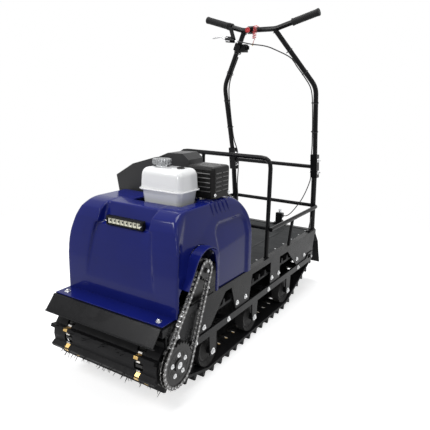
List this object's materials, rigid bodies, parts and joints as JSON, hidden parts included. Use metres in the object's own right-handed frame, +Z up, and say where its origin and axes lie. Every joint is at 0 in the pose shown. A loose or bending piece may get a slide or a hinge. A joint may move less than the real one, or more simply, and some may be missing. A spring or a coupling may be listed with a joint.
{
  "type": "tracked snow tow vehicle",
  "caption": "Walk-behind tracked snow vehicle with a hooded engine, chain drive, lugged rubber track, rear deck and tall handlebar.",
  "frame": {"origin": "on the ground under the middle of the vehicle", "axes": "+X to the vehicle's left (chain side), +Y to its rear (handlebar end), +Z up"},
  "size_m": [0.5502, 1.3792, 1.306],
  "materials": {
    "track_rubber": "matte black moulded rubber",
    "wheel_rubber": "satin black rubber",
    "black_frame_paint": "black powder coat",
    "deck_grey": "worn grey paint",
    "dark_steel": "oiled dark steel",
    "bright_steel": "bare steel",
    "hood_blue": "deep blue gloss",
    "cast_aluminium": "rough cast",
    "engine_black_plastic": "fine-grained black",
    "muffler_guard_black": "black heat-proof paint",
    "tank_white": "white gloss enamel",
    "cap_chrome": "polished",
    "headlight_glass": "clear",
    "grip_rubber": "matte black",
    "switch_red": "red",
    "cable_black": "black sheath"
  },
  "bodies": {
    "chassis": {"track": "track_rubber", "mudflap": "track_rubber", "drive_belt": "track_rubber", "side_frame_left": "black_frame_paint", "side_frame_right": "black_frame_paint", "cross_tube_1": "black_frame_paint", "cross_tube_2": "black_frame_paint", "cross_tube_3": "black_frame_paint", "main_frame": "black_frame_paint", "front_deflector": "black_frame_paint", "headlight_housing": "black_frame_paint", "engine_plate": "black_frame_paint", "front_hoop": "black_frame_paint", "upright_left": "black_frame_paint", "upright_right": "black_frame_paint", "rear_bar": "black_frame_paint", "side_rail": "black_frame_paint", "clamp_left": "black_frame_paint", "clamp_right": "black_frame_paint", "handlebar": "black_frame_paint", "tow_hitch": "black_frame_paint", "lever_mount": "black_frame_paint", "kill_switch": "black_frame_paint", "ignition_switch": "black_frame_paint", "deck_sheet": "deck_grey", "roller_chain": "dark_steel", "shaft_bracket": "dark_steel", "muffler": "bright_steel", "hood": "hood_blue", "chain_guard": "hood_blue", "engine": "cast_aluminium", "fan_housing": "engine_black_plastic", "air_cleaner": "engine_black_plastic", "muffler_guard": "muffler_guard_black", "fuel_tank": "tank_white", "headlight_lens": "headlight_glass", "grip_left": "grip_rubber", "grip_right": "grip_rubber", "lanyard": "switch_red", "lever_cable": "cable_black", "switch_loom": "cable_black"},
    "drive_line": {"drive_axle": "dark_steel", "big_sprocket": "dark_steel"},
    "jackshaft": {"small_sprocket": "dark_steel", "driven_pulley": "bright_steel"},
    "crankshaft": {"drive_pulley": "bright_steel"},
    "rear_idler": {"rear_idler": "wheel_rubber"},
    "hand_lever": {"hand_lever": "cast_aluminium"},
    "hitch_pin": {"hitch_pin": "cap_chrome"},
    "kill_button": {"kill_button": "switch_red"},
    "ignition_knob": {"ignition_knob": "black_frame_paint"},
    "tank_cap": {"tank_cap": "cap_chrome"},
    "air_cleaner_knob": {"air_cleaner_knob": "engine_black_plastic"},
    "recoil_handle": {"recoil_handle": "engine_black_plastic"},
    "roller_1_left": {"roller_1_left": "wheel_rubber"},
    "roller_1_right": {"roller_1_right": "wheel_rubber"},
    "roller_2_left": {"roller_2_left": "wheel_rubber"},
    "roller_2_right": {"roller_2_right": "wheel_rubber"},
    "roller_3_left": {"roller_3_left": "wheel_rubber"},
    "roller_3_right": {"roller_3_right": "wheel_rubber"}
  },
  "joints": [
    {"name": "drive_axle_turn", "type": "hinge", "parent": "chassis", "child": "drive_line", "pos_m": [0, -0.58765, 0.155], "axis": [1, 0, 0], "continuous": true},
    {"name": "jackshaft_turn", "type": "hinge", "parent": "chassis", "child": "jackshaft", "pos_m": [0.2435, -0.44312, 0.41575], "axis": [1, 0, 0], "continuous": true},
    {"name": "crankshaft_turn", "type": "hinge", "parent": "chassis", "child": "crankshaft", "pos_m": [0.104, -0.27765, 0.425], "axis": [1, 0, 0], "continuous": true},
    {"name": "roller_1_left_turn", "type": "hinge", "parent": "chassis", "child": "roller_1_left", "pos_m": [0.195, -0.36465, 0.0903], "axis": [1, 0, 0], "continuous": true},
    {"name": "roller_1_right_turn", "type": "hinge", "parent": "chassis", "child": "roller_1_right", "pos_m": [-0.195, -0.36465, 0.0903], "axis": [1, 0, 0], "continuous": true},
    {"name": "roller_2_left_turn", "type": "hinge", "parent": "chassis", "child": "roller_2_left", "pos_m": [0.195, -0.05065, 0.0903], "axis": [1, 0, 0], "continuous": true},
    {"name": "roller_2_right_turn", "type": "hinge", "parent": "chassis", "child": "roller_2_right", "pos_m": [-0.195, -0.05065, 0.0903], "axis": [1, 0, 0], "continuous": true},
    {"name": "roller_3_left_turn", "type": "hinge", "parent": "chassis", "child": "roller_3_left", "pos_m": [0.195, 0.28235, 0.0903], "axis": [1, 0, 0], "continuous": true},
    {"name": "roller_3_right_turn", "type": "hinge", "parent": "chassis", "child": "roller_3_right", "pos_m": [-0.195, 0.28235, 0.0903], "axis": [1, 0, 0], "continuous": true},
    {"name": "rear_idler_turn", "type": "hinge", "parent": "chassis", "child": "rear_idler", "pos_m": [0, 0.53287, 0.189], "axis": [1, 0, 0], "continuous": true},
    {"name": "lever_squeeze", "type": "hinge", "parent": "chassis", "child": "hand_lever", "pos_m": [-0.14, 0.30735, 1.198], "axis": [-0.1659, 0.7887, -0.592], "range_deg": [0, 28], "stiffness_Nm_per_rad": 0.6, "springref_deg": -20.05},
    {"name": "hitch_pin_pull", "type": "slide", "parent": "chassis", "child": "hitch_pin", "axis": [0, 0, 1], "range_m": [0, 0.018]},
    {"name": "kill_button_press", "type": "slide", "parent": "chassis", "child": "kill_button", "axis": [0, 1, 0], "range_m": [0, 0.003], "stiffness_N_per_m": 300, "springref_m": -0.003},
    {"name": "recoil_pull", "type": "slide", "parent": "chassis", "child": "recoil_handle", "axis": [0, 1, 0], "range_m": [0, 0.18], "stiffness_N_per_m": 30, "springref_m": -0.3},
    {"name": "ignition_turn", "type": "hinge", "parent": "chassis", "child": "ignition_knob", "pos_m": [-0.07649, 0.37188, 1.166], "axis": [1, 0, 0], "range_deg": [0, 90]},
    {"name": "tank_cap_turn", "type": "hinge", "parent": "chassis", "child": "tank_cap", "pos_m": [0.021, -0.37565, 0.7253], "axis": [0, 0, 1], "range_deg": [0, 90]},
    {"name": "air_cleaner_knob_turn", "type": "hinge", "parent": "chassis", "child": "air_cleaner_knob", "pos_m": [-0.2413, -0.25765, 0.6165], "axis": [1, 0, 0], "range_deg": [0, 180]}
  ],
  "couplings": [
    {"joint": "jackshaft_turn", "follows": "drive_axle_turn", "ratio": 2.3333},
    {"joint": "roller_1_left_turn", "follows": "drive_axle_turn", "ratio": 1.0564},
    {"joint": "roller_1_right_turn", "follows": "drive_axle_turn", "ratio": 1.0564},
    {"joint": "roller_2_left_turn", "follows": "drive_axle_turn", "ratio": 1.0564},
    {"joint": "roller_2_right_turn", "follows": "drive_axle_turn", "ratio": 1.0564},
    {"joint": "roller_3_left_turn", "follows": "drive_axle_turn", "ratio": 1.0564},
    {"joint": "roller_3_right_turn", "follows": "drive_axle_turn", "ratio": 1.0564},
    {"joint": "rear_idler_turn", "follows": "drive_axle_turn", "ratio": 1.31},
    {"joint": "hitch_pin_pull", "follows": "lever_squeeze", "m_per_rad": 0.0368}
  ]
}
